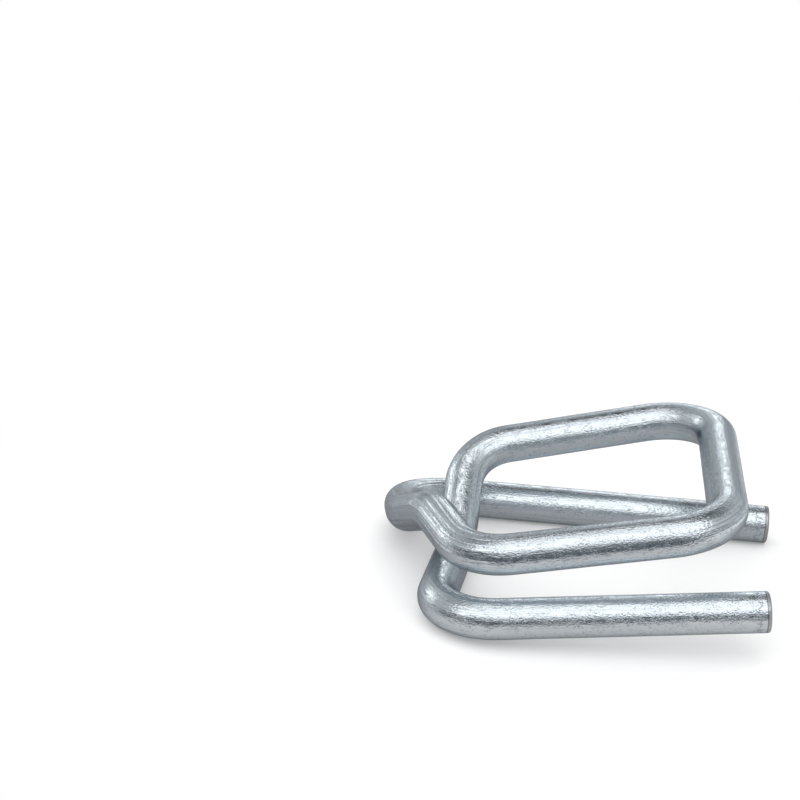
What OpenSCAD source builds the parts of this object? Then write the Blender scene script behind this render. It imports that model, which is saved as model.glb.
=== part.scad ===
// Strapping buckle bent from one length of round galvanised wire.
// The wire runs from the tip of prong 1 round the crossbar and the loop, crosses over the crossbar,
// drops behind it, turns back and ends at the tip of prong 2. X runs along the prongs, Y runs from prong 1
// to prong 2 and Z is up. The buckle lies on prong 2 and on the flat front stretch of its crossbar.

/* [Wire] */
// Diameter of the drawn wire
wire_d = 3.5; // [2.5:0.1:4.5]
// Chamfer round each cut end
end_chamfer = 0.2; // [0.1:0.05:0.5]
// Loss of wire radius where the wire is drawn round a forming pin
bend_thinning = 0.02; // [0.01:0.01:0.1]

/* [Prong 1] */
// Length along X from the corner to the cut end
prong_1_len = 28.5; // [20:0.5:40]
// How far the tip leans in towards prong 2
prong_1_lean = 2.4; // [0:0.1:4]
// How far the tip stands above the corner
prong_1_lift = 2.6; // [0:0.1:4]

/* [Crossbar] */
// Distance along Y between the two corners
crossbar_span = 24.4; // [20:0.2:32]
// How far the far corner lies ahead of the near one along X
crossbar_skew = 1.9; // [0:0.1:4]
// Height of the far corner above the near one
crossbar_lift = 5.9; // [4:0.1:9]
// Length along Y of the front stretch that lies flat
flat_len = 14.7; // [12:0.1:17]
// How far the wire behind the crossbar pushes it in at the end of the flat stretch
crossbar_bow = 0.5; // [0:0.1:2]

/* [Loop] */
// Distance along X from the corner of prong 1 to the near corner of the loop
near_inset = 3.1; // [2:0.1:6]
// Distance along Y from the corner of prong 1 to the near corner of the loop
near_offset = 2.1; // [0:0.1:4]
// Height of the near corner of the loop above the corner of prong 1
near_height = 5.1; // [4.5:0.1:8]
// Length of the near side along X
near_len = 21.4; // [16:0.2:30]
// How far the near side leans in towards prong 2
near_lean = 0.4; // [0:0.1:3]
// Rise of the near side towards the end of the loop
near_lift = 4.5; // [0:0.1:8]
// Length of the far side along X
far_len = 22.6; // [16:0.2:30]
// How far the far side opens out towards the end of the loop
far_flare = 4.5; // [0:0.1:6]
// Rise of the far side towards the end of the loop
far_lift = 4.2; // [0:0.1:8]

/* [Crossing and turn] */
// Distance along Y from the corner of prong 1 to the crest, where the wire passes over the crossbar
crest_at = 11.1; // [9:0.1:13]
// Gap between the crossbar and the corner of the crest above it
crest_gap = 2.1; // [1.5:0.1:4]
// Angle by which the crest leans outwards over the crossbar
crest_tilt = 19; // [10:1:40]
// Distance along Y from the crest to the heel, where the wire lies behind the crossbar
heel_step = 7; // [5:0.1:8.5]
// Gap between the crossbar and the corner of the heel behind it
heel_gap = 1.5; // [0.4:0.05:2.4]
// How far the corner of the heel lies below the crossbar
heel_drop = 0.35; // [0:0.05:1]
// How far the corner of the turn reaches behind the corner of prong 1
turn_reach = 4.4; // [3.5:0.1:10]

/* [Prong 2] */
// Distance along Y from the corner of prong 1 to prong 2
prong_2_offset = 26.9; // [22:0.1:34]
// Length along X from the corner of the turn to the cut end
prong_2_len = 35; // [28:0.2:50]

/* [Bends] */
// Inside radius of the bend between prong 1 and the crossbar
prong_1_bend = 3.25; // [1:0.25:5]
// Inside radius at the end of the flat stretch of the crossbar
flat_bend = 4.75; // [2:0.25:8]
// Inside radius of the bend between the crossbar and the far side
far_bend = 3.25; // [1:0.25:5]
// Inside radius of the bend between the far side and the end of the loop
far_end_bend = 3.75; // [1:0.25:5]
// Inside radius of the bend between the end of the loop and the near side
near_end_bend = 3; // [1:0.25:5]
// Inside radius of the bend between the near side and the crest
near_bend = 3.5; // [1:0.25:4]
// Inside radius of the bend at the crest
crest_bend = 6; // [2:0.25:8]
// Inside radius of the bend at the heel
heel_bend = 8.25; // [4:0.25:10]
// Inside radius of the turn into prong 2
turn_bend = 3.5; // [1:0.25:4]

/* [Hidden] */
$fn = 64;

wire_r = wire_d / 2;
// Length by which a bend is set into the straight on either side of it
bend_seat = 0.1;
// Steps along each bend at which the reach of the wire is measured
reach_steps = 24;
zinc = [0.72, 0.75, 0.78];

// Corners of the wire's run, from the corner of prong 1 on the flat stretch's own height
prong_1_tip = [prong_1_len, prong_1_lean, prong_1_lift];
prong_1_corner = [0, 0, 0];
flat_end = [crossbar_skew * flat_len / crossbar_span + crossbar_bow, flat_len, 0];
far_corner = [crossbar_skew, crossbar_span, crossbar_lift];
far_end = far_corner + [far_len, far_flare, far_lift];
near_corner = [near_inset, near_offset, near_height];
near_end = near_corner + [near_len, near_lean, near_lift];
crossed = flat_end * crest_at / flat_len;
crest = crossed + (wire_d + crest_gap) * [-sin(crest_tilt), 0, cos(crest_tilt)];
passed = flat_end + (far_corner - flat_end) * (crest_at + heel_step - flat_len) / (crossbar_span - flat_len);
heel = passed - [wire_d + heel_gap, 0, heel_drop];
turn = [-turn_reach, prong_2_offset, 0];
prong_2_tip = turn + [prong_2_len, 0, 0];

run = [
    prong_1_tip, prong_1_corner, flat_end, far_corner, far_end,
    near_end, near_corner, crest, heel, turn, prong_2_tip
];
last = len(run) - 1;
inside_r = [
    prong_1_bend, flat_bend, far_bend, far_end_bend,
    near_end_bend, near_bend, crest_bend, heel_bend, turn_bend
];

function unit(v) = v / norm(v);
function back(i) = unit(run[i - 1] - run[i]);
function ahead(i) = unit(run[i + 1] - run[i]);
function half_angle(i) = acos(back(i) * ahead(i)) / 2;
function bend_r(i) = inside_r[i - 1] + wire_r;
function bend_sweep(i) = 180 - 2 * half_angle(i);
function bend_start(i) = run[i] + back(i) * bend_r(i) / tan(half_angle(i));
function bend_end(i) = run[i] + ahead(i) * bend_r(i) / tan(half_angle(i));
function bend_centre(i) = run[i] + unit(back(i) + ahead(i)) * bend_r(i) / sin(half_angle(i));
function bend_out(i) = unit(bend_start(i) - bend_centre(i));

// Points of the centreline with its direction there, at the bends and at the two tips
function on_bend(i, angle) = [
    bend_centre(i) + bend_r(i) * (bend_out(i) * cos(angle) - back(i) * sin(angle)),
    -bend_out(i) * sin(angle) - back(i) * cos(angle)
];
centreline = concat(
    [[prong_1_tip, ahead(0)], [prong_2_tip, back(last)]],
    [for (i = [1 : last - 1], s = [0 : reach_steps]) on_bend(i, bend_sweep(i) * s / reach_steps)]
);
function reach(axis, side) =
    max([for (p = centreline) side * p[0][axis] + wire_r * sqrt(1 - min(1, p[1][axis] ^ 2))]);
function middle(axis) = (reach(axis, 1) - reach(axis, -1)) / 2;

// Stands its child on a point, with the child's Z along a direction
module aim(at, along) {
    translate(at)
        rotate([0, acos(along.z / norm(along)), atan2(along.y, along.x)])
            children();
}

module straight(from, to) {
    aim(from, to - from)
        cylinder(h = norm(to - from), r = wire_r);
}

// Straight with a chamfered cut end at its tip
module prong(from, tip) {
    length = norm(tip - from);
    aim(from, tip - from)
        rotate_extrude()
            polygon([
                [0, 0], [wire_r, 0], [wire_r, length - end_chamfer], [wire_r - end_chamfer, length], [0, length]
            ]);
}

module bend(i) {
    x = bend_out(i);
    y = -back(i);
    z = cross(x, y);
    c = bend_centre(i);
    seat = atan(bend_seat / bend_r(i));
    multmatrix([[x.x, y.x, z.x, c.x], [x.y, y.y, z.y, c.y], [x.z, y.z, z.z, c.z], [0, 0, 0, 1]])
        rotate([0, 0, -seat])
            rotate_extrude(angle = bend_sweep(i) + 2 * seat)
                translate([bend_r(i), 0])
                    circle(r = wire_r - bend_thinning);
}

module buckle_wire() {
    color(zinc)
        translate([-middle(0), -middle(1), wire_r]) {
            prong(bend_start(1), prong_1_tip);
            for (i = [1 : last - 2])
                straight(bend_end(i), bend_start(i + 1));
            prong(bend_end(last - 1), prong_2_tip);
            for (i = [1 : last - 1])
                bend(i);
        }
}

buckle_wire();
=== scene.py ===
"""Strapping buckle bent from one length of galvanised wire, with its studio stage."""

import math

import bpy
from bpy.props import FloatProperty, FloatVectorProperty, IntProperty, PointerProperty
from mathutils import Euler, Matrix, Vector


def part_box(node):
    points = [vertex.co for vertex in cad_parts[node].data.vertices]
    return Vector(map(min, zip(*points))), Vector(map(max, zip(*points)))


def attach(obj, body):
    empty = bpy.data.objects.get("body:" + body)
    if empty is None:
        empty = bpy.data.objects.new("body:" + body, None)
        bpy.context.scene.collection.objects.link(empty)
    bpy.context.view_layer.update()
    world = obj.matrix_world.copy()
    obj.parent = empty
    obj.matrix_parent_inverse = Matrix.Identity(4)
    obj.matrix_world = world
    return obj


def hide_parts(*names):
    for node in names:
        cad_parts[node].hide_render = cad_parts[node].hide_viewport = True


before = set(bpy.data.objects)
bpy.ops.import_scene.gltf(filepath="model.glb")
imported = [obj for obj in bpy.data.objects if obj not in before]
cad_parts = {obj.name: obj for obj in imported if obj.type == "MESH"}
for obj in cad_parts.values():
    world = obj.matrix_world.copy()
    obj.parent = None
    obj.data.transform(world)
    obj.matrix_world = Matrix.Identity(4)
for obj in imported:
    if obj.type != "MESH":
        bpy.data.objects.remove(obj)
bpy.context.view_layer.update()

bl_info = {
    "name": "Strapping Buckle",
    "version": (1, 0, 0),
    "blender": (4, 5, 0),
    "location": "3D View > Sidebar > Buckle",
    "description": "Bends a galvanised wire buckle, gives it its zinc and sets up its studio stage",
    "category": "Object",
}

MM = 0.001
WIRE_NODE = "buckle_wire"
BODY = "root"

# Attributes of the wire's mesh: angle round the wire, place on the straight wire, how far the bending
# worked it, and how far it lies to the outside of its bend
GIRTH = "girth"
STRAIGHT = "straight"
BENT = "bent"
OUTSIDE = "outside"

# Length in wire diameters below which a straight was worked with its bends
SHORT_STRAIGHT = 1.5
# Share of a bend over which the working sets in and fades
BEND_EASE = 0.3
# Fewest rings along a bend
BEND_RINGS = 4

# Steps of the rounded rim of a cut end
RIM_STEPS = 4
# Inset of the flat of a cut end, and inset and depth of its hollow, in wire diameters
FLAT_INSET = 0.08
HOLLOW_INSET = 0.2
HOLLOW_DEPTH = 0.006

# Distance at which vertices merge
MERGE = 0.001 * MM
# Length of the waves in the surface
WAVE_LENGTH = 4 * MM
# Angle from which edges stay sharp
SHARP = math.radians(50)

# Cells of each noise in the zinc: length and width, in fleck sizes or streak widths, and detail
FLECK_CELL = (1.6, 1, 2)
PATCH_CELL = (7, 4, 2)
CLOUD_CELL = (15, 9, 2)
STREAK_CELL = (70, 1, 2)
CREASE_CELL = (90, 3, 1)
SCRATCH_CELL = (30, 0.4, 1)
# Roughness of every noise and the middle of its values
NOISE_ROUGHNESS = 0.55
NOISE_MIDDLE = 0.5

# Values of a noise, or of a bend's outside, between which an effect sets in
PEPPER_FLECKS = (0.52, 0.63)
PEPPER_PATCHES = (0.38, 0.56)
DULL_STREAKS = (0.52, 0.66)
WORN_CLOUDS = (0.40, 0.62)
WORN_INSIDE = (-0.2, -0.9)
STAIN_PATCHES = (0.40, 0.62)
GLOSS_PATCHES = (0.3, 0.7)
FLECKED_PATCHES = (0.30, 0.62)

# Strength of each effect on the colour of the zinc; a pair runs from straight to bent wire
PEPPER_SHARE = 0.4
STREAK_SHARE = (0.2, 0.5)
WORN_SHARE = 0.3
PINCH_SHARE = 0.6
STAIN_SHARE = 0.45

# Roughness of smooth and of rough patches, and what dull zinc and cut steel add to it
ROUGHNESS = (0.11, 0.17)
DULL_ROUGHNESS = 0.14
CUT_ROUGHNESS = 0.25

# Relief of the flecks, in fleck depths: in calm and flecked patches, and on straight and bent wire
PATCH_FLECKS = (0.35, 1.0)
BEND_FLECKS = (1.0, 1.1)
# Relief in streak depths: streaks on straight and bent wire, scratches, creases of bent wire, and the
# line where the shear pinched the wire
BEND_STREAKS = (0.22, 1.0)
SCRATCH_DEPTH = 0.25
CREASE_DEPTH = 6.0
PINCH_DEPTH = 0.4

# Distances from the end of the wire at which the cut, its rim and the pinched line set in or fade, and
# how far that line wanders
CUT_FADE = (0.34 * MM, 0.30 * MM)
RIM_FADE = (0.42 * MM, 0.37 * MM)
PINCH_START = (0.95 * MM, 1.05 * MM)
PINCH_FADE = (1.20 * MM, 1.10 * MM)
PINCH_WANDER = 2.4 * MM

# Side of the floor in metres, and how white it shows near the buckle
FLOOR_SIDE = 4
WHITE_NEAR = 0.15
# Distances from the left and front sides of the buckle's box between which the floor, as the metal
# mirrors it, darkens, and how far it does: a painted darker reflection to the left of the buckle and
# painted shade under and behind its front
PAINTED_DARK_LEFT = (5 * MM, -4 * MM)
PAINTED_DARK_LEFT_SHARE = 0.5
PAINTED_SHADE_UNDER = (3 * MM, 8 * MM)
PAINTED_SHADE_UNDER_SHARE = 0.45

# Radius and foot of the tent in metres, and its segments and rings
TENT_RADIUS = 1.2
TENT_FOOT = 0.001
TENT_SEGMENTS = 48
TENT_RINGS = 24
# Greys of the front and the back of the tent: degrees up, grey and tint of blue
FRONT_GREYS = ((0, 0.08, 0.20), (9, 0.10, 0.18), (15, 0.32, 0.08), (22, 0.58, 0.04), (70, 0.50, 0.04))
BACK_GREYS = (
    (0, 0.14, 0.12), (3, 0.18, 0.10), (8, 0.52, 0.06),
    (42, 0.48, 0.06), (60, 0.11, 0.12), (78, 0.09, 0.12),
)
# How far to the front and the back, in radii, the two pass into each other
TENT_BLEND = 0.25
# How far to the right, in radii, the tent grows brighter, and its brightness there
TENT_RIGHT = (0.1, 0.7)
TENT_GAIN = (1.0, 1.1)

# Dark card on the floor: side in lengths of the buckle, turn, gap in front of the buckle, and height
FLAG_SIDE = 8
FLAG_TURN = math.radians(-14)
FLAG_GAP = 13 * MM
FLAG_LIFT = 0.1 * MM

# Lamps: degrees to the left of +Y, degrees up, and distance, width and height in metres
LAMPS = {
    "softbox": (168, 54, 0.5, 1.0, 0.42),
    "top_panel": (65, 86, 0.6, 0.15, 0.60),
    "back_strip": (-3, 19, 0.9, 0.23, 0.34),
    "left_strip": (56, 20, 0.9, 0.35, 0.24),
}
# Brightness of the top panel, in that of the softbox
TOP_SHARE = 1.4
WHITE = (1, 1, 1, 1)

# Width of the camera's sensor in millimetres, and the nearest and furthest it sees in metres
SENSOR_WIDTH = 36
CLIP = (0.01, 10)
# Side of the picture and the place in it of the corner of prong 1, in pixels
PICTURE = 800
CORNER_PIXEL = (425.6, 621.1)


def length(name, description, millimetres):
    """A length property, given in millimetres and kept in metres."""
    return FloatProperty(name=name, description=description, default=millimetres * MM, unit="LENGTH")


def angle(name, description, degrees):
    """An angle property, given in degrees."""
    return FloatProperty(
        name=name, description=description, default=math.radians(degrees), subtype="ANGLE"
    )


def colour(name, description, value):
    """A linear colour property."""
    return FloatVectorProperty(
        name=name, description=description, default=value, subtype="COLOR", min=0, max=1
    )


def share(name, description, value):
    """A property that runs from 0 to 1."""
    return FloatProperty(
        name=name, description=description, default=value, subtype="FACTOR", min=0, max=1
    )


def level(name, description, value):
    """A brightness property, where 1 shows as white."""
    return FloatProperty(name=name, description=description, default=value, min=0)


class WireSizes(bpy.types.PropertyGroup):
    """Sizes of the bent wire, the same as those of its solid"""

    wire_d: length("Wire diameter", "Diameter of the drawn wire", 3.5)
    end_chamfer: length("End rounding", "Rounding of the rim at each cut end", 0.2)
    prong_1_len: length("Prong 1 length", "Length along X from the corner to the cut end", 28.5)
    prong_1_lean: length("Prong 1 lean", "How far the tip leans in towards prong 2", 2.4)
    prong_1_lift: length("Prong 1 lift", "How far the tip stands above the corner", 2.6)
    crossbar_span: length("Crossbar span", "Distance along Y between the two corners", 24.4)
    crossbar_skew: length("Crossbar skew", "How far the far corner lies ahead along X", 1.9)
    crossbar_lift: length("Crossbar lift", "Height of the far corner above the near one", 5.9)
    flat_len: length("Flat length", "Length of the front stretch that lies flat", 14.7)
    crossbar_bow: length("Crossbar bow", "How far the flat stretch is pushed in at its end", 0.5)
    near_inset: length("Near inset", "Distance along X to the near corner of the loop", 3.1)
    near_offset: length("Near offset", "Distance along Y to the near corner of the loop", 2.1)
    near_height: length("Near height", "Height of the near corner of the loop", 5.1)
    near_len: length("Near side length", "Length of the near side along X", 21.4)
    near_lean: length("Near side lean", "How far the near side leans towards prong 2", 0.4)
    near_lift: length("Near side lift", "Rise of the near side to the end of the loop", 4.5)
    far_len: length("Far side length", "Length of the far side along X", 22.6)
    far_flare: length("Far side flare", "How far the far side opens out", 4.5)
    far_lift: length("Far side lift", "Rise of the far side to the end of the loop", 4.2)
    crest_at: length("Crest place", "Distance along Y to the crest over the crossbar", 11.1)
    crest_gap: length("Crest gap", "Gap between the crossbar and the corner of the crest", 2.1)
    crest_tilt: angle("Crest tilt", "Angle by which the crest leans outwards", 19)
    heel_step: length("Heel step", "Distance along Y from the crest to the heel", 7)
    heel_gap: length("Heel gap", "Gap between the crossbar and the corner of the heel", 1.5)
    heel_drop: length("Heel drop", "How far the corner of the heel lies below the crossbar", 0.35)
    turn_reach: length("Turn reach", "How far the turn reaches behind prong 1", 4.4)
    prong_2_offset: length("Prong 2 offset", "Distance along Y from prong 1 to prong 2", 26.9)
    prong_2_len: length("Prong 2 length", "Length along X from the turn to the cut end", 35)
    prong_1_bend: length("Prong 1 bend", "Inside radius between prong 1 and the crossbar", 3.25)
    flat_bend: length("Flat bend", "Inside radius at the end of the flat stretch", 4.75)
    far_bend: length("Far bend", "Inside radius between the crossbar and the far side", 3.25)
    far_end_bend: length("Far end bend", "Inside radius from the far side to the loop's end", 3.75)
    near_end_bend: length("Near end bend", "Inside radius from the loop's end to the near side", 3)
    near_bend: length("Near bend", "Inside radius between the near side and the crest", 3.5)
    crest_bend: length("Crest bend", "Inside radius at the crest", 6)
    heel_bend: length("Heel bend", "Inside radius at the heel", 8.25)
    turn_bend: length("Turn bend", "Inside radius of the turn into prong 2", 3.5)
    sides: IntProperty(name="Sides", description="Sides of the wire's section", default=96, min=16)
    ring_step: length("Ring step", "Distance between rings along the wire", 0.45)


class ZincFinish(bpy.types.PropertyGroup):
    """Colours and grain of the galvanised wire"""

    bright: colour("Bright zinc", "Colour of clean zinc", (0.75, 0.81, 0.85))
    dull: colour("Dull zinc", "Colour of the dull streaks and specks", (0.31, 0.35, 0.38))
    warm: colour("Worn zinc", "Warm colour where the forming pins rubbed", (0.66, 0.63, 0.58))
    cut: colour("Cut steel", "Colour of the sheared ends", (0.62, 0.63, 0.63))
    rim: colour("Cut rim", "Colour of the dark rim round the sheared ends", (0.20, 0.21, 0.22))
    edge: colour("Edge tint", "Tint of the zinc at grazing angles", (0.56, 0.58, 0.60))
    fleck: length("Fleck size", "Size of the flecks in the zinc", 0.13)
    fleck_depth: length("Fleck depth", "Depth of the flecks", 0.05)
    streak: length("Streak width", "Width of the drawing streaks", 0.16)
    streak_depth: length("Streak depth", "Depth of the drawing streaks", 0.03)
    waviness: length("Waviness", "Unevenness of the wire's surface", 0.03)
    worked: share("Worked", "How far short straights were worked", 0.9)
    formed: share("Formed", "How far plain bends were worked", 0.6)


class StudioStage(bpy.types.PropertyGroup):
    """Floor, lights and camera"""

    floor: colour("Floor", "Colour of the floor near the buckle", (0.95, 0.95, 0.95))
    white_from: length("White from", "Distance from the middle at which the floor starts to whiten", 34)
    white_at: length("White at", "Distance from the middle at which the floor is white", 62)
    mirrored: colour("Mirrored floor", "Grey card that the metal mirrors as floor", (0.49, 0.48, 0.48))
    flag: colour("Flag", "Colour of the dark card in front of the buckle", (0.085, 0.10, 0.115))
    ambient: level("Ambient", "Level of the light from all round", 0.95)
    key: level("Key", "Brightness of the large softbox", 0.82)
    strip: level("Strip", "Brightness of the strip lights", 1.45)
    lens: FloatProperty(
        name="Lens", description="Focal length", default=95.72, subtype="DISTANCE_CAMERA"
    )
    elevation: angle("Elevation", "Angle by which the camera looks down", 20.7)
    heading: angle("Heading", "Angle by which the camera looks to the left of +Y", 3.25)
    roll: angle("Roll", "Turn of the camera about its own view", 3.86)
    distance: length("Distance", "Distance of the corner of prong 1 in front of the camera", 177.9)


# Run of the wire


def wire_run(size):
    """Corners of the wire's run, from the corner of prong 1, and the inside radius at each bend."""
    prong_1_corner = Vector((0, 0, 0))
    prong_1_tip = Vector((size.prong_1_len, size.prong_1_lean, size.prong_1_lift))
    flat_skew = size.crossbar_skew * size.flat_len / size.crossbar_span
    flat_end = Vector((flat_skew + size.crossbar_bow, size.flat_len, 0))
    far_corner = Vector((size.crossbar_skew, size.crossbar_span, size.crossbar_lift))
    far_end = far_corner + Vector((size.far_len, size.far_flare, size.far_lift))
    near_corner = Vector((size.near_inset, size.near_offset, size.near_height))
    near_end = near_corner + Vector((size.near_len, size.near_lean, size.near_lift))
    lean_out = Vector((-math.sin(size.crest_tilt), 0, math.cos(size.crest_tilt)))
    crest = flat_end * (size.crest_at / size.flat_len) + lean_out * (size.wire_d + size.crest_gap)
    rising = size.crossbar_span - size.flat_len
    passed = flat_end.lerp(far_corner, (size.crest_at + size.heel_step - size.flat_len) / rising)
    heel = passed - Vector((size.wire_d + size.heel_gap, 0, size.heel_drop))
    turn = Vector((-size.turn_reach, size.prong_2_offset, 0))
    prong_2_tip = turn + Vector((size.prong_2_len, 0, 0))
    corners = [
        prong_1_tip, prong_1_corner, flat_end, far_corner, far_end,
        near_end, near_corner, crest, heel, turn, prong_2_tip,
    ]
    inside = [
        size.prong_1_bend, size.flat_bend, size.far_bend, size.far_end_bend,
        size.near_end_bend, size.near_bend, size.crest_bend, size.heel_bend, size.turn_bend,
    ]
    return corners, inside


class Bend:
    """An arc of the centreline that rounds one corner of the run."""

    def __init__(self, before, corner, after, radius):
        back = (before - corner).normalized()
        ahead = (after - corner).normalized()
        half = back.angle(ahead) / 2
        self.radius = radius
        self.sweep = math.pi - 2 * half
        self.start = corner + back * radius / math.tan(half)
        self.end = corner + ahead * radius / math.tan(half)
        self.centre = corner + (back + ahead).normalized() * radius / math.sin(half)
        self.axis = (self.start - self.centre).cross(-back).normalized()


class RingLog:
    """What is known of each ring of the wire: its distance along the wire, its working and its bend."""

    def __init__(self):
        self.along = [0.0]
        self.bent = [0.0]
        self.bend_centre = [None]

    def add(self, step, bent, bend_centre=None):
        """Notes one more ring, a step further along the wire."""
        self.along.append(self.along[-1] + step)
        self.bent.append(bent)
        self.bend_centre.append(bend_centre)


# Modelling


def edit_vertices(piece, chosen):
    """Opens the piece in edit mode with only the chosen vertices selected."""
    bpy.ops.object.mode_set(mode="EDIT")
    bpy.ops.mesh.select_mode(type="VERT")
    bpy.ops.mesh.select_all(action="DESELECT")
    bpy.ops.object.mode_set(mode="OBJECT")
    for i in chosen:
        piece.data.vertices[i].select = True
    bpy.ops.object.mode_set(mode="EDIT")


def start_ring(size, tip, towards):
    """A circle at the cut end of prong 1, square to the wire, which keeps each vertex's angle round it."""
    bpy.ops.object.select_all(action="DESELECT")
    bpy.ops.mesh.primitive_circle_add(vertices=size.sides, radius=size.wire_d / 2, fill_type="NOTHING")
    piece = bpy.context.object
    piece.name = "galvanised_wire"
    piece.data.name = piece.name
    girth = piece.data.attributes.new(GIRTH, "FLOAT", "POINT")
    for i, vertex in enumerate(piece.data.vertices):
        girth.data[i].value = math.atan2(vertex.co.y, vertex.co.x)
    piece.rotation_mode = "QUATERNION"
    piece.rotation_quaternion = (towards - tip).to_track_quat("Z", "Y")
    piece.location = tip
    bpy.ops.object.transform_apply(location=True, rotation=True, scale=True)
    return piece


def draw_straight(start, end, step, log, worked):
    """Extrudes the selected ring from one point of the run to the next."""
    count = max(1, round((end - start).length / step))
    move = (end - start) / count
    for _ in range(count):
        bpy.ops.mesh.extrude_region_move(
            TRANSFORM_OT_translate={"value": move, "orient_type": "GLOBAL"}
        )
        log.add(move.length, worked)


def form_bend(bend, step, log, before, after, most):
    """Spins the selected ring round a forming pin, between straights that were worked less."""
    count = max(BEND_RINGS, round(bend.radius * bend.sweep / step))
    bpy.ops.mesh.spin(steps=count, angle=-bend.sweep, center=bend.centre, axis=bend.axis)
    for i in range(1, count + 1):
        passed = i / count
        rising = before + (most - before) * passed / BEND_EASE
        falling = after + (most - after) * (1 - passed) / BEND_EASE
        bent = min(most, rising, falling)
        log.add(bend.radius * bend.sweep / count, bent, bend.centre)


def note_wire(piece, size, log):
    """Writes where each vertex lay on the straight wire, and how the bending worked it."""
    mesh = piece.data
    sides = size.sides
    if len(mesh.vertices) != sides * len(log.along):
        raise RuntimeError("the rings of the wire don't match its run")
    girth = [g.value for g in mesh.attributes[GIRTH].data]
    for name, kind in ((STRAIGHT, "FLOAT_VECTOR"), (BENT, "FLOAT"), (OUTSIDE, "FLOAT")):
        mesh.attributes.new(name, kind, "POINT")
    straight, bent, outside = (mesh.attributes[name] for name in (STRAIGHT, BENT, OUTSIDE))
    wire_r = size.wire_d / 2
    for ring, along in enumerate(log.along):
        members = range(ring * sides, (ring + 1) * sides)
        middle = sum((mesh.vertices[i].co for i in members), Vector()) / sides
        bend_centre = log.bend_centre[ring]
        outwards = (middle - bend_centre).normalized() if bend_centre else Vector()
        for i in members:
            around = (math.cos(girth[i]) * wire_r, math.sin(girth[i]) * wire_r)
            straight.data[i].vector = (along, *around)
            bent.data[i].value = log.bent[ring]
            outside.data[i].value = log.bent[ring] * outwards.dot(mesh.vertices[i].co - middle) / wire_r


def close_end(piece, size, ring):
    """Fills a cut end and rounds its rim."""
    edit_vertices(piece, range(ring * size.sides, (ring + 1) * size.sides))
    bpy.ops.mesh.edge_face_add()
    bpy.ops.mesh.bevel(offset=size.end_chamfer, segments=RIM_STEPS, affect="EDGES")
    bpy.ops.object.mode_set(mode="OBJECT")


def face_end(piece, size, tip):
    """Insets the flat of a cut end, so that its shading stays flat, and sinks its middle a little."""
    many_sided = [f for f in piece.data.polygons if len(f.vertices) > 4]
    flat = min(many_sided, key=lambda f: (f.center - tip).length)
    edit_vertices(piece, flat.vertices)
    bpy.ops.mesh.inset(thickness=size.wire_d * FLAT_INSET, depth=0)
    bpy.ops.mesh.inset(thickness=size.wire_d * HOLLOW_INSET, depth=-size.wire_d * HOLLOW_DEPTH)
    bpy.ops.object.mode_set(mode="OBJECT")


def seat_in_frame(piece):
    """Closes the mesh and moves the wire from its own run to the place of its solid."""
    bpy.ops.object.mode_set(mode="EDIT")
    bpy.ops.mesh.select_all(action="SELECT")
    bpy.ops.mesh.remove_doubles(threshold=MERGE)
    bpy.ops.mesh.normals_make_consistent(inside=False)
    bpy.ops.object.mode_set(mode="OBJECT")
    lowest = Vector(min(v.co[axis] for v in piece.data.vertices) for axis in range(3))
    bpy.ops.object.mode_set(mode="EDIT")
    bpy.ops.transform.translate(value=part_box(WIRE_NODE)[0] - lowest, orient_type="GLOBAL")
    bpy.ops.object.mode_set(mode="OBJECT")


def roughen(piece, name, grain, depth):
    """Presses a soft unevenness into the surface."""
    texture = bpy.data.textures.new(name, "CLOUDS")
    texture.noise_scale = grain
    texture.noise_depth = 1
    bpy.ops.object.modifier_add(type="DISPLACE")
    modifier = piece.modifiers[-1]
    modifier.texture = texture
    modifier.texture_coords = "LOCAL"
    modifier.strength = depth
    modifier.mid_level = 0.5
    bpy.ops.object.modifier_apply(modifier=modifier.name)


# Materials


def opaque(tint):
    """A colour with its alpha, or a link as it is."""
    return tint if isinstance(tint, bpy.types.NodeSocket) else (*tint, 1)


class Nodes:
    """Fills an emptied node tree."""

    def __init__(self, tree):
        self.tree = tree
        tree.nodes.clear()

    def add(self, kind, inputs=None, **settings):
        """Adds a node, sets its options and fills its inputs with values or with links."""
        node = self.tree.nodes.new(kind)
        for key, value in settings.items():
            setattr(node, key, value)
        for key, value in (inputs or {}).items():
            if isinstance(value, bpy.types.NodeSocket):
                self.tree.links.new(value, node.inputs[key])
            else:
                node.inputs[key].default_value = value
        return node

    def maths(self, operation, a, b):
        """One operation on two values."""
        return self.add("ShaderNodeMath", {0: a, 1: b}, operation=operation).outputs["Value"]

    def between(self, value, ends, to=(0.0, 1.0)):
        """Passes smoothly from the first of two numbers to the second as a value runs between its ends."""
        return self.add("ShaderNodeMapRange", {
            "Value": value, "From Min": ends[0], "From Max": ends[1], "To Min": to[0], "To Max": to[1],
        }, interpolation_type="SMOOTHSTEP").outputs["Result"]

    def mix(self, amount, a, b):
        """A colour on the way from one colour to another."""
        inputs = {0: amount, 6: opaque(a), 7: opaque(b)}
        return self.add("ShaderNodeMix", inputs, data_type="RGBA").outputs[2]

    def seen_ray(self):
        """1 for rays that show the background: from the camera, a reflection or glass."""
        path = self.add("ShaderNodeLightPath")
        seen = path.outputs["Is Camera Ray"]
        for kind in ("Is Glossy Ray", "Is Transmission Ray"):
            seen = self.maths("MAXIMUM", seen, path.outputs[kind])
        return seen


def new_material(name):
    """A material and its empty node tree."""
    material = bpy.data.materials.new(name)
    material.use_nodes = True
    return material, Nodes(material.node_tree)


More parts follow.
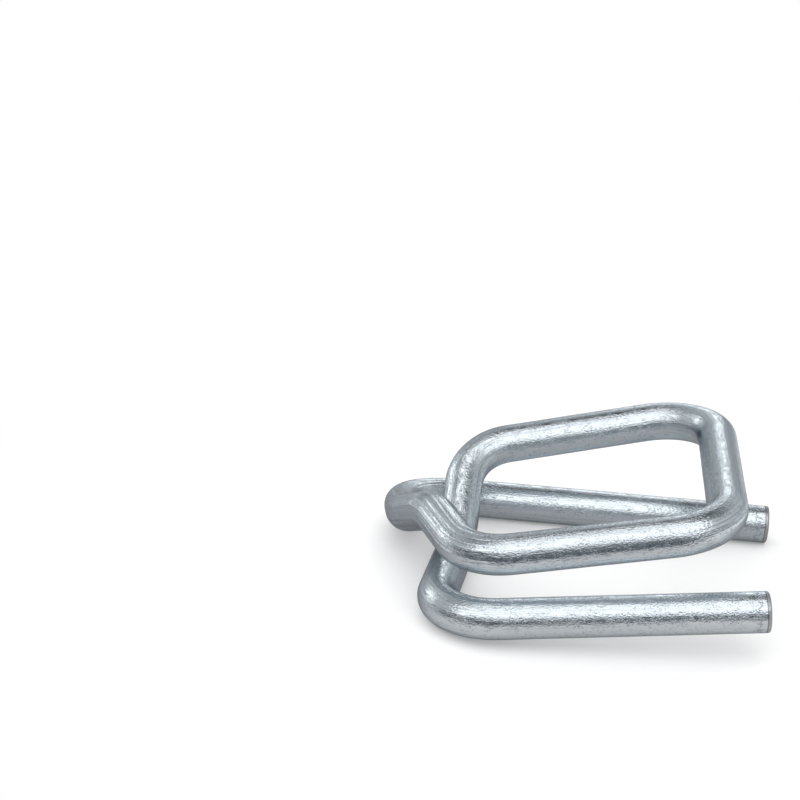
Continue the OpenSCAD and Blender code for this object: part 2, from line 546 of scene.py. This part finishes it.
def stretched_noise_group():
    """Noise in cells of a given length and width along the straight wire."""
    tree = bpy.data.node_groups.new("Stretched noise", "ShaderNodeTree")
    nodes = Nodes(tree)
    tree.interface.new_socket("Straight", in_out="INPUT", socket_type="NodeSocketVector")
    for name in ("Cell length", "Cell width", "Detail"):
        tree.interface.new_socket(name, in_out="INPUT", socket_type="NodeSocketFloat")
    tree.interface.new_socket("Value", in_out="OUTPUT", socket_type="NodeSocketFloat")
    given = nodes.add("NodeGroupInput").outputs
    cell = nodes.add("ShaderNodeCombineXYZ", {
        "X": given["Cell length"], "Y": given["Cell width"], "Z": given["Cell width"],
    })
    place = nodes.add("ShaderNodeVectorMath", {
        0: given["Straight"], 1: cell.outputs["Vector"],
    }, operation="DIVIDE")
    noise = nodes.add("ShaderNodeTexNoise", {
        "Vector": place.outputs["Vector"], "Scale": 1.0,
        "Detail": given["Detail"], "Roughness": NOISE_ROUGHNESS,
    })
    nodes.add("NodeGroupOutput", {"Value": noise.outputs["Fac"]})
    return tree


def zinc_material(finish, wire_length):
    """Bright drawn zinc: flecks, streaks that follow the bends, worn bends and sheared ends."""
    material, nodes = new_material("galvanised_zinc")
    maths = nodes.maths
    between = nodes.between
    mix = nodes.mix
    noise_group = stretched_noise_group()
    straight = nodes.add("ShaderNodeAttribute", attribute_name=STRAIGHT).outputs["Vector"]
    bent = nodes.add("ShaderNodeAttribute", attribute_name=BENT).outputs["Fac"]
    outside = nodes.add("ShaderNodeAttribute", attribute_name=OUTSIDE).outputs["Fac"]

    def noise(unit, cell):
        group = nodes.add("ShaderNodeGroup", node_tree=noise_group)
        nodes.tree.links.new(straight, group.inputs["Straight"])
        group.inputs["Cell length"].default_value = unit * cell[0]
        group.inputs["Cell width"].default_value = unit * cell[1]
        group.inputs["Detail"].default_value = cell[2]
        return group.outputs["Value"]

    def by_bend(straight_and_bent):
        return between(bent, (0.0, 1.0), straight_and_bent)

    def raised(value, depth):
        return maths("MULTIPLY", maths("SUBTRACT", value, NOISE_MIDDLE), depth)

    fleck = noise(finish.fleck, FLECK_CELL)
    patch = noise(finish.fleck, PATCH_CELL)
    cloud = noise(finish.fleck, CLOUD_CELL)
    streak = noise(finish.streak, STREAK_CELL)
    crease = noise(finish.streak, CREASE_CELL)
    scratch = noise(finish.streak, SCRATCH_CELL)

    pepper = maths("MULTIPLY", between(fleck, PEPPER_FLECKS), between(patch, PEPPER_PATCHES))
    dull_streak = maths("MULTIPLY", between(streak, DULL_STREAKS), by_bend(STREAK_SHARE))
    dull = maths("MAXIMUM", maths("MULTIPLY", pepper, PEPPER_SHARE), dull_streak)
    worn = maths("MULTIPLY", between(outside, WORN_INSIDE), between(cloud, WORN_CLOUDS))

    reach = nodes.add("ShaderNodeSeparateXYZ", {"Vector": straight}).outputs["X"]
    from_end = maths("MINIMUM", reach, maths("SUBTRACT", wire_length, reach))
    cut = between(from_end, CUT_FADE)
    rim = between(from_end, RIM_FADE)
    pinch_place = maths("ADD", from_end, raised(patch, PINCH_WANDER))
    pinch = maths("MULTIPLY", between(pinch_place, PINCH_START), between(pinch_place, PINCH_FADE))

    base = mix(dull, finish.bright, finish.dull)
    base = mix(maths("MULTIPLY", worn, WORN_SHARE), base, finish.warm)
    base = mix(maths("MULTIPLY", pinch, PINCH_SHARE), base, finish.dull)
    base = mix(rim, base, finish.rim)
    stain = between(patch, STAIN_PATCHES, (0.0, STAIN_SHARE))
    base = mix(cut, base, mix(stain, finish.cut, finish.dull))

    roughness = between(patch, GLOSS_PATCHES, ROUGHNESS)
    roughness = maths("ADD", roughness, maths("MULTIPLY", dull, DULL_ROUGHNESS))
    roughness = maths("ADD", roughness, maths("MULTIPLY", cut, CUT_ROUGHNESS))

    flecked = maths("MULTIPLY", between(patch, FLECKED_PATCHES, PATCH_FLECKS), by_bend(BEND_FLECKS))
    twisted = maths("MULTIPLY", bent, bent)
    height = raised(fleck, maths("MULTIPLY", flecked, finish.fleck_depth))
    for relief in (
        raised(streak, maths("MULTIPLY", by_bend(BEND_STREAKS), finish.streak_depth)),
        maths("MULTIPLY", scratch, SCRATCH_DEPTH * finish.streak_depth),
        raised(crease, maths("MULTIPLY", twisted, CREASE_DEPTH * finish.streak_depth)),
        maths("MULTIPLY", pinch, -PINCH_DEPTH * finish.streak_depth),
    ):
        height = maths("ADD", height, relief)
    bump = nodes.add("ShaderNodeBump", {"Strength": 1.0, "Distance": 1.0, "Height": height})

    shader = nodes.add("ShaderNodeBsdfPrincipled", {
        "Base Color": base, "Roughness": roughness, "Metallic": 1.0,
        "Normal": bump.outputs["Normal"], "Specular Tint": opaque(finish.edge),
    })
    nodes.add("ShaderNodeOutputMaterial", {"Surface": shader.outputs["BSDF"]})
    return material


def floor_material(stage):
    """Pale floor that keeps the shadow near the buckle, fades to white and shows the metal a grey card,
    with painted shade under the buckle and a painted darker reflection to its left.
    """
    material, nodes = new_material("pale_floor")
    place = nodes.add("ShaderNodeTexCoord").outputs["Object"]
    away = nodes.add("ShaderNodeVectorMath", {0: place}, operation="LENGTH").outputs["Value"]
    far = nodes.between(away, (stage.white_from, stage.white_at), (WHITE_NEAR, 1.0))
    white = nodes.maths("MULTIPLY", far, nodes.seen_ray())
    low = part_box(WIRE_NODE)[0]
    axes = nodes.add("ShaderNodeSeparateXYZ", {"Vector": place}).outputs
    # Painted darker reflection: the floor as the metal mirrors it darkens to the left of the buckle
    painted_dark_left_reflection = nodes.between(axes["X"], [low.x + d for d in PAINTED_DARK_LEFT], (0.0, PAINTED_DARK_LEFT_SHARE))
    # Painted shade: the floor as the metal mirrors it darkens under and behind the front of the buckle
    painted_shade_under = nodes.between(axes["Y"], [low.y + d for d in PAINTED_SHADE_UNDER], (0.0, PAINTED_SHADE_UNDER_SHARE))
    card = nodes.mix(nodes.maths("MAXIMUM", painted_dark_left_reflection, painted_shade_under), stage.mirrored, stage.flag)
    glossy = nodes.add("ShaderNodeLightPath").outputs["Is Glossy Ray"]
    matt = nodes.add("ShaderNodeBsdfDiffuse", {"Color": nodes.mix(glossy, stage.floor, card)})
    glow = nodes.add("ShaderNodeEmission", {"Color": WHITE, "Strength": 1.0})
    both = nodes.add("ShaderNodeMixShader", {
        0: white, 1: matt.outputs["BSDF"], 2: glow.outputs["Emission"],
    })
    nodes.add("ShaderNodeOutputMaterial", {"Surface": both.outputs["Shader"]})
    return material


def grey_ramp(nodes, height, stops):
    """Greys at given heights of the tent, tinted by taking some red and a third as much green off them."""
    ramp = nodes.add("ShaderNodeValToRGB", {"Fac": height})
    elements = ramp.color_ramp.elements
    for _ in range(len(stops) - len(elements)):
        elements.new(0.5)
    for element, (degrees, grey, blue) in zip(elements, stops):
        element.position = math.sin(math.radians(degrees))
        element.color = (grey * (1 - blue), grey * (1 - blue / 3), grey, 1)
    return ramp.outputs["Color"]


def tent_material():
    """Greys of the studio tent that the metal mirrors."""
    material, nodes = new_material("studio_tent")
    place = nodes.add("ShaderNodeTexCoord").outputs["Object"]
    ray = nodes.add("ShaderNodeVectorMath", {0: place}, operation="NORMALIZE").outputs["Vector"]
    axes = nodes.add("ShaderNodeSeparateXYZ", {"Vector": ray}).outputs
    front = grey_ramp(nodes, axes["Z"], FRONT_GREYS)
    back = grey_ramp(nodes, axes["Z"], BACK_GREYS)
    behind = nodes.between(axes["Y"], (-TENT_BLEND, TENT_BLEND))
    right = nodes.between(axes["X"], TENT_RIGHT, TENT_GAIN)
    glow = nodes.add("ShaderNodeEmission", {"Color": nodes.mix(behind, front, back), "Strength": right})
    nodes.add("ShaderNodeOutputMaterial", {"Surface": glow.outputs["Emission"]})
    return material


def flag_material(stage):
    """One even dark grey that the metal mirrors."""
    material, nodes = new_material("dark_card")
    glow = nodes.add("ShaderNodeEmission", {"Color": opaque(stage.flag), "Strength": 1.0})
    nodes.add("ShaderNodeOutputMaterial", {"Surface": glow.outputs["Emission"]})
    return material


# Operators


class BUCKLE_OT_wire(bpy.types.Operator):
    """Bend the wire from the cut end of prong 1 to the cut end of prong 2 and galvanise it"""

    bl_idname = "buckle.wire"
    bl_label = "Bend Wire"

    def execute(self, context):
        size = context.scene.buckle_wire
        finish = context.scene.buckle_zinc
        corners, inside = wire_run(size)
        bends = [
            Bend(*corners[i:i + 3], inside[i] + size.wire_d / 2) for i in range(len(inside))
        ]
        log = RingLog()
        piece = start_ring(size, corners[0], corners[1])
        edit_vertices(piece, range(size.sides))
        starts = [corners[0], *(bend.end for bend in bends)]
        ends = [*(bend.start for bend in bends), corners[-1]]
        short = SHORT_STRAIGHT * size.wire_d
        worked = [finish.worked if (b - a).length < short else 0.0 for a, b in zip(starts, ends)]
        for i, bend in enumerate(bends):
            draw_straight(starts[i], ends[i], size.ring_step, log, worked[i])
            most = 1.0 if worked[i] or worked[i + 1] else finish.formed
            form_bend(bend, size.ring_step, log, worked[i], worked[i + 1], most)
        draw_straight(starts[-1], ends[-1], size.ring_step, log, worked[-1])
        bpy.ops.object.mode_set(mode="OBJECT")
        note_wire(piece, size, log)
        for ring in (len(log.along) - 1, 0):
            close_end(piece, size, ring)
        for tip in (corners[0], corners[-1]):
            face_end(piece, size, tip)
        seat_in_frame(piece)
        roughen(piece, "wire_waves", WAVE_LENGTH, finish.waviness)
        bpy.ops.object.shade_smooth_by_angle(angle=SHARP)
        piece.data.materials.clear()
        piece.data.materials.append(zinc_material(finish, log.along[-1]))
        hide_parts(WIRE_NODE)
        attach(piece, BODY)
        return {"FINISHED"}


class BUCKLE_OT_stage(bpy.types.Operator):
    """Lay the floor, set up the tent, the dark card and the lights, and set the camera"""

    bl_idname = "buckle.stage"
    bl_label = "Set Up Stage"

    def execute(self, context):
        stage = context.scene.buckle_stage
        self.lay_floor(stage)
        self.pitch_tent()
        self.lay_flag(stage)
        levels = {
            "softbox": stage.key, "top_panel": TOP_SHARE * stage.key,
            "back_strip": stage.strip, "left_strip": stage.strip,
        }
        for name, place in LAMPS.items():
            self.hang_lamp(name, levels[name], *place)
        self.light_all_round(context.scene, stage)
        self.set_camera(context.scene, stage, context.scene.buckle_wire)
        context.scene.view_settings.view_transform = "Standard"
        return {"FINISHED"}

    def lay_floor(self, stage):
        """The pale floor under the buckle."""
        bpy.ops.object.select_all(action="DESELECT")
        bpy.ops.mesh.primitive_plane_add(size=FLOOR_SIDE)
        floor = bpy.context.object
        floor.name = "floor"
        floor.data.materials.append(floor_material(stage))

    def pitch_tent(self):
        """A dome round the buckle, which only the metal mirrors."""
        bpy.ops.object.select_all(action="DESELECT")
        bpy.ops.mesh.primitive_uv_sphere_add(
            segments=TENT_SEGMENTS, ring_count=TENT_RINGS, radius=TENT_RADIUS
        )
        tent = bpy.context.object
        tent.name = "tent"
        bpy.ops.object.mode_set(mode="EDIT")
        bpy.ops.mesh.select_all(action="SELECT")
        bpy.ops.mesh.bisect(plane_co=(0, 0, TENT_FOOT), plane_no=(0, 0, 1), clear_inner=True)
        bpy.ops.mesh.select_all(action="SELECT")
        bpy.ops.mesh.flip_normals()
        bpy.ops.object.mode_set(mode="OBJECT")
        tent.data.materials.append(tent_material())
        self.show_to_metal_only(tent)

    def lay_flag(self, stage):
        """A dark card on the floor in front, turned a little, which only the metal mirrors."""
        low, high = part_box(WIRE_NODE)
        bpy.ops.object.select_all(action="DESELECT")
        bpy.ops.mesh.primitive_plane_add(size=1)
        flag = bpy.context.object
        flag.name = "flag"
        side = FLAG_SIDE * (high.x - low.x)
        turn = Euler((0, 0, FLAG_TURN)).to_matrix()
        flag.scale = (side, side, 1)
        flag.rotation_euler = turn.to_euler()
        flag.location = Vector((0, low.y - FLAG_GAP, FLAG_LIFT)) - turn @ Vector((0, side / 2, 0))
        bpy.ops.object.transform_apply(location=True, rotation=True, scale=True)
        flag.data.materials.append(flag_material(stage))
        self.show_to_metal_only(flag)

    def show_to_metal_only(self, card):
        """Leaves a card to reflections alone."""
        card.visible_camera = False
        card.visible_diffuse = False
        card.visible_transmission = False
        card.visible_shadow = False

    def hang_lamp(self, name, brightness, azimuth, elevation, away, width, height):
        """An area light that faces the middle of the buckle's foot, as bright as given when mirrored."""
        turn = Euler((math.radians(90 - elevation), 0, math.radians(azimuth + 180))).to_matrix()
        bpy.ops.object.light_add(type="AREA")
        lamp = bpy.context.object
        lamp.name = name
        lamp.location = turn @ Vector((0, 0, away))
        lamp.rotation_euler = turn.to_euler()
        lamp.data.shape = "RECTANGLE"
        lamp.data.size = width
        lamp.data.size_y = height
        lamp.data.energy = brightness * math.pi * width * height

    def light_all_round(self, scene, stage):
        """An even light on the floor, before a white background."""
        world = scene.world or bpy.data.worlds.new("studio")
        scene.world = world
        world.use_nodes = True
        nodes = Nodes(world.node_tree)
        strength = nodes.between(nodes.seen_ray(), (0.0, 1.0), (stage.ambient, 1.0))
        glow = nodes.add("ShaderNodeBackground", {"Color": WHITE, "Strength": strength})
        nodes.add("ShaderNodeOutputWorld", {"Surface": glow.outputs["Background"]})

    def set_camera(self, scene, stage, size):
        """A camera that sees the corner of prong 1 at its place in the picture."""
        bpy.ops.object.camera_add()
        camera = bpy.context.object
        camera.data.sensor_width = SENSOR_WIDTH
        camera.data.lens = stage.lens
        camera.data.clip_start, camera.data.clip_end = CLIP
        pitch = Euler((math.radians(90) - stage.elevation, 0, stage.heading)).to_matrix()
        turn = pitch @ Euler((0, 0, stage.roll)).to_matrix()
        pixel = camera.data.sensor_width / stage.lens / PICTURE
        across = (CORNER_PIXEL[0] - PICTURE / 2) * pixel
        down = (CORNER_PIXEL[1] - PICTURE / 2) * pixel
        ray = Vector((across, -down, -1)) * stage.distance
        camera.location = self.prong_1_corner(size) - turn @ ray
        camera.rotation_euler = turn.to_euler()
        scene.camera = camera

    def prong_1_corner(self, size):
        """Corner of prong 1 in the frame, worked back from the solid's right, front and lowest sides."""
        wire_r = size.wire_d / 2
        low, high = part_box(WIRE_NODE)
        corners, inside = wire_run(size)
        bend = Bend(*corners[:3], inside[0] + wire_r)
        front = min(bend.start.y, corners[0].y)
        ahead = size.prong_2_len - size.turn_reach
        return Vector((high.x - ahead, low.y + wire_r - front, low.z + wire_r))


class BUCKLE_PT_sidebar(bpy.types.Panel):
    """Sizes, finish and stage of the buckle"""

    bl_idname = "BUCKLE_PT_sidebar"
    bl_label = "Strapping Buckle"
    bl_space_type = "VIEW_3D"
    bl_region_type = "UI"
    bl_category = "Buckle"

    def draw(self, context):
        for group, name in GROUPS.items():
            box = self.layout.box()
            for value in group.__annotations__:
                box.prop(getattr(context.scene, name), value)
        for operator in OPERATORS:
            self.layout.operator(operator.bl_idname)


GROUPS = {WireSizes: "buckle_wire", ZincFinish: "buckle_zinc", StudioStage: "buckle_stage"}
OPERATORS = (BUCKLE_OT_wire, BUCKLE_OT_stage)


def register():
    for group, name in GROUPS.items():
        bpy.utils.register_class(group)
        setattr(bpy.types.Scene, name, PointerProperty(type=group))
    for cls in (*OPERATORS, BUCKLE_PT_sidebar):
        bpy.utils.register_class(cls)


def unregister():
    for cls in (BUCKLE_PT_sidebar, *reversed(OPERATORS)):
        bpy.utils.unregister_class(cls)
    for group, name in GROUPS.items():
        delattr(bpy.types.Scene, name)
        bpy.utils.unregister_class(group)


def main():
    register()
    bpy.ops.buckle.wire()
    bpy.ops.buckle.stage()


if __name__ == "__main__":
    main()
